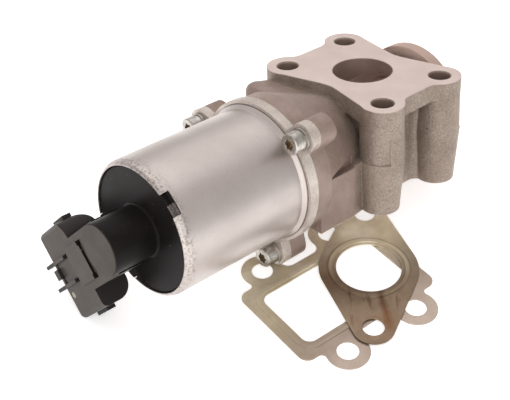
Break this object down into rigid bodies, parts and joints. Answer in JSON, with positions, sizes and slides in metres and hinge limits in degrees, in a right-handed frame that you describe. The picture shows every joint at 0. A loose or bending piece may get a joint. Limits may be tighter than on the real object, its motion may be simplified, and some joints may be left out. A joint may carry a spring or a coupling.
{
  "type": "exhaust gas recirculation valve",
  "caption": "Solenoid-driven exhaust gas recirculation valve with a cast flanged housing, a sprung poppet, a position sensor, a plug shell and two loose gaskets.",
  "frame": {"origin": "centre of the round port on the machined top face", "axes": "+Z is the normal of the machined top face; +X runs along the solenoid towards the plug; +Y completes the frame, away from the plug shell"},
  "size_m": [0.1795, 0.1237, 0.0849],
  "materials": {
    "cast_housing": "sandy cast",
    "seat_steel": "ground",
    "valve_steel": "ground",
    "stem_bronze": "machined",
    "shield_steel": "pressed sheet",
    "spring_steel": "wire",
    "plated_steel": "zinc plated",
    "can_metal": "satin",
    "magnet_iron": "machined",
    "sleeve_steel": "drawn",
    "bobbin_plastic": "moulded",
    "copper_wire": "enamelled",
    "seal_rubber": "matt",
    "cap_plastic": "moulded",
    "cover_plastic": "moulded",
    "terminal_metal": "tinned",
    "rod_plastic": "moulded",
    "board_laminate": "printed",
    "gasket_sheet": "coated sheet"
  },
  "bodies": {
    "valve_body": {"valve_housing": "cast_housing", "valve_seat": "seat_steel", "stem_bush": "stem_bronze", "stem_shield": "shield_steel", "return_spring": "spring_steel", "fixed_core": "magnet_iron", "guide_sleeve": "sleeve_steel", "coil_bobbin": "bobbin_plastic", "coil_winding": "copper_wire", "coil_leads": "copper_wire", "front_pole_plate": "magnet_iron", "rear_pole_plate": "magnet_iron", "can_seal": "seal_rubber", "cap_seal": "seal_rubber", "solenoid_can": "can_metal", "clamp_ring": "plated_steel", "can_screws": "plated_steel", "screw_washers": "plated_steel", "end_cap": "cap_plastic", "sensor_cover": "cover_plastic", "plug_terminals": "terminal_metal", "sensor_board": "board_laminate", "sensor_spring": "spring_steel", "port_gasket": "gasket_sheet", "pipe_gasket": "gasket_sheet"},
    "valve_stem": {"valve_poppet": "valve_steel", "retainer_clip": "spring_steel", "spring_retainer": "plated_steel", "armature": "magnet_iron"},
    "sensor_follower": {"sensor_rod": "rod_plastic", "sensor_wiper": "terminal_metal"}
  },
  "joints": [
    {"name": "valve_lift", "type": "slide", "parent": "valve_body", "child": "valve_stem", "axis": [1, 0, 0], "range_m": [0, 0.0055], "stiffness_N_per_m": 2500, "springref_m": -0.008, "deforming": ["return_spring"]},
    {"name": "sensor_follow", "type": "slide", "parent": "valve_body", "child": "sensor_follower", "axis": [1, 0, 0], "range_m": [0, 0.0055], "stiffness_N_per_m": 150, "springref_m": -0.006, "deforming": ["sensor_spring"]}
  ],
  "couplings": [
    {"joint": "sensor_follow", "follows": "valve_lift", "ratio": 1}
  ]
}
